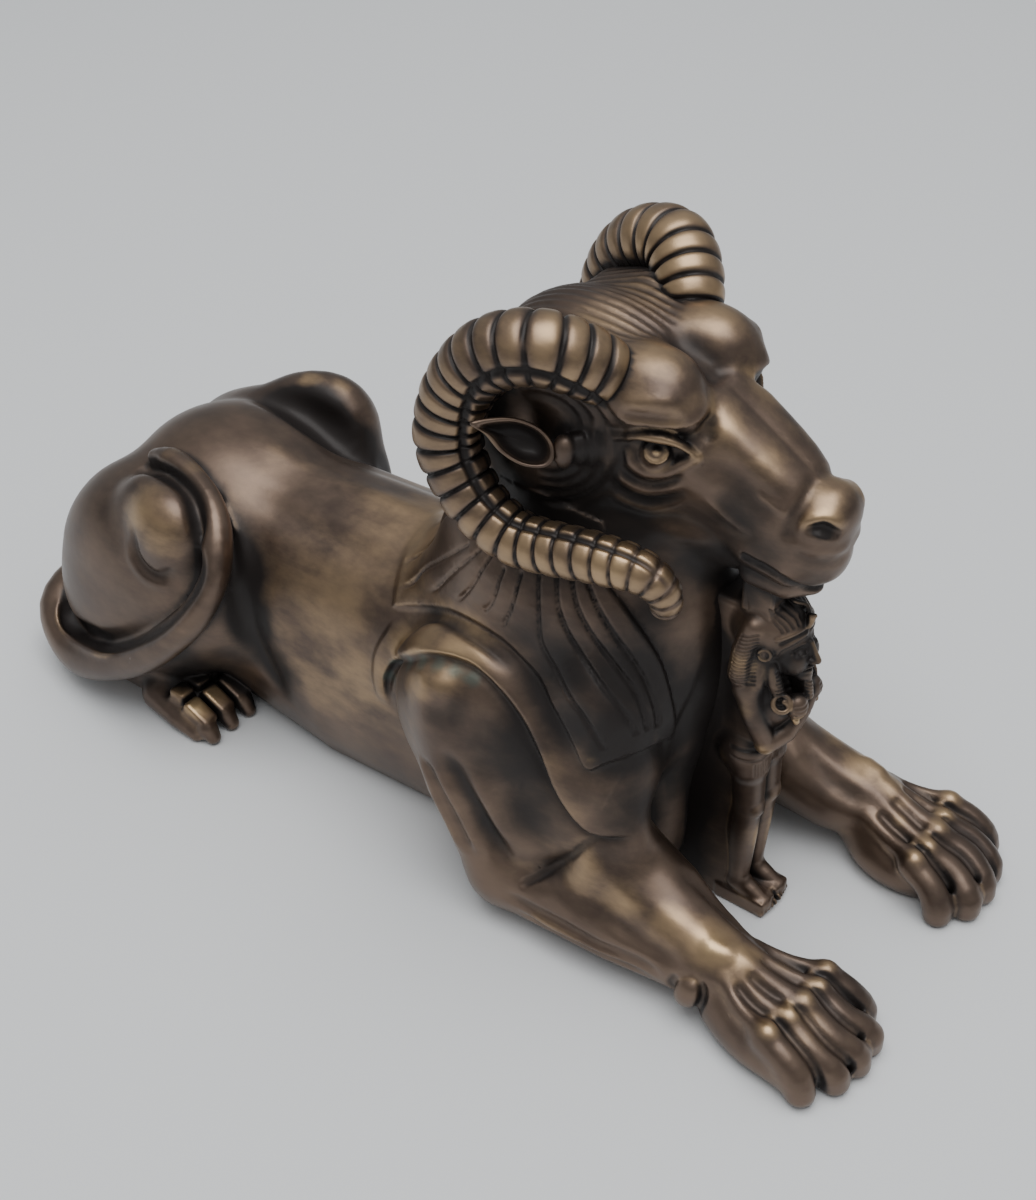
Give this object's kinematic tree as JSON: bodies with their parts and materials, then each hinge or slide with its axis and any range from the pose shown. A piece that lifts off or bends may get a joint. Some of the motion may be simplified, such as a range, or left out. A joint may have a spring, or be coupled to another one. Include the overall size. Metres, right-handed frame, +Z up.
{
  "type": "recumbent ram-headed lion figurine",
  "caption": "Recumbent lion figurine with a ram's head, curled ridged horns, a grooved mane cape and a small king standing under its chin; an ornament that rests on its flat underside.",
  "frame": {"origin": "on the table plane under the figure, in the middle of its length and width", "axes": "+X towards the forepaws and face, +Y towards the statue's left side, +Z up"},
  "size_m": [0.22, 0.0844, 0.1342],
  "materials": {
    "bronze_resin": "cold-cast bronze: dark patina in the recesses, satin brown body, rubbed golden high points"
  },
  "bodies": {
    "root": {"ram_sphinx": "bronze_resin"}
  },
  "joints": []
}
